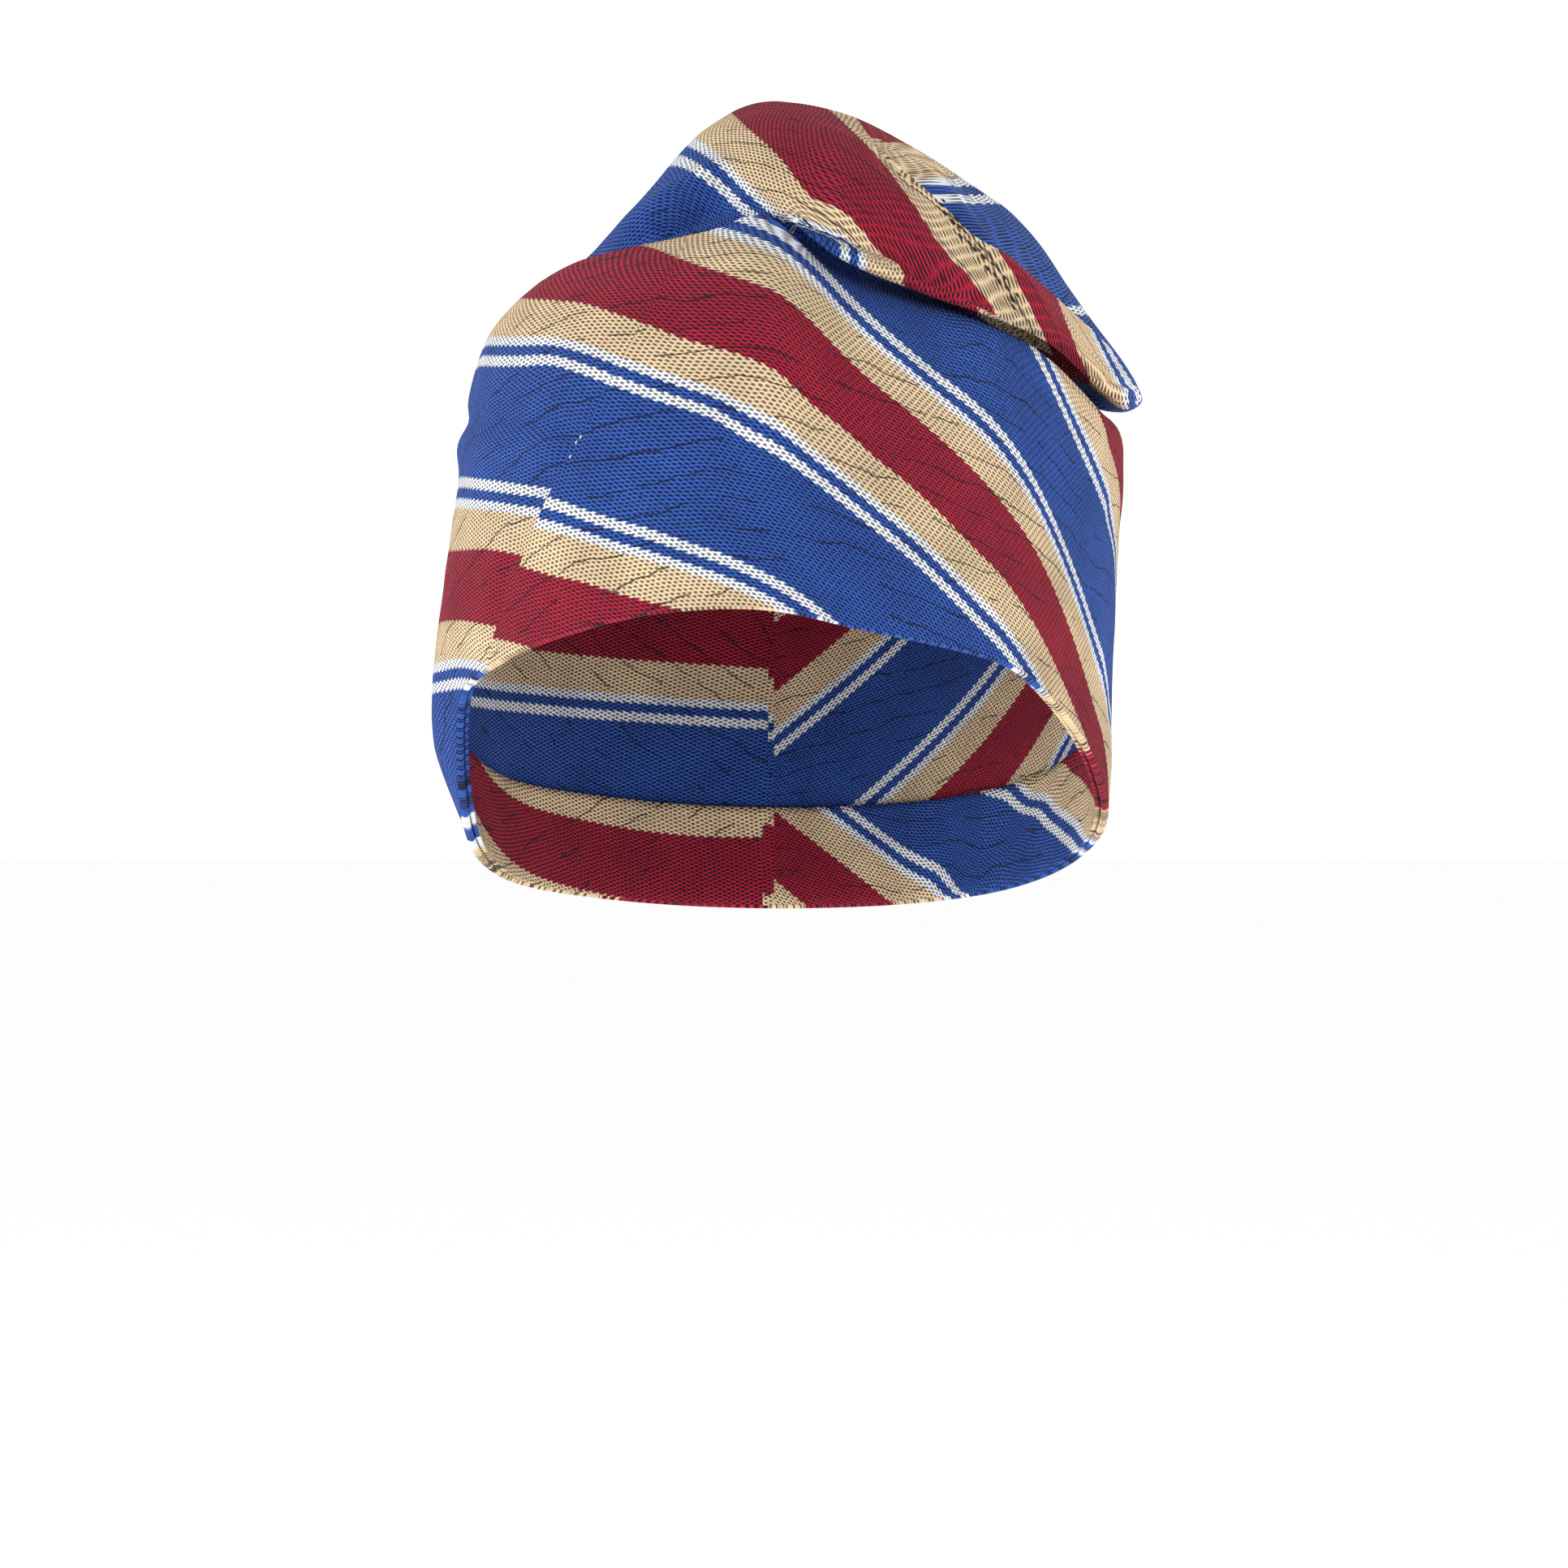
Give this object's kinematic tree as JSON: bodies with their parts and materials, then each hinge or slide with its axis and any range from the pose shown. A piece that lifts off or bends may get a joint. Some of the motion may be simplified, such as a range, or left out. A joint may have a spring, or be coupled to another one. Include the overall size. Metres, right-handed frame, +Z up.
{
  "type": "turban hat",
  "caption": "Tall soft cap of striped handwoven cloth that wraps the brow, with a closed top folded over to one side and a turned-in hem.",
  "frame": {"origin": "centre of the head opening, at the level of the ears", "axes": "+Z up through the folded top, -Y to the brow, +X to the wearer's left, where the top folds over"},
  "size_m": [0.1745, 0.2075, 0.2],
  "materials": {
    "striped_cloth": "matte handwoven cloth",
    "inner_cloth": "matte handwoven cloth"
  },
  "bodies": {
    "root": {"crown_wall": "striped_cloth", "top_fold": "striped_cloth", "hem_facing": "inner_cloth"}
  },
  "joints": []
}
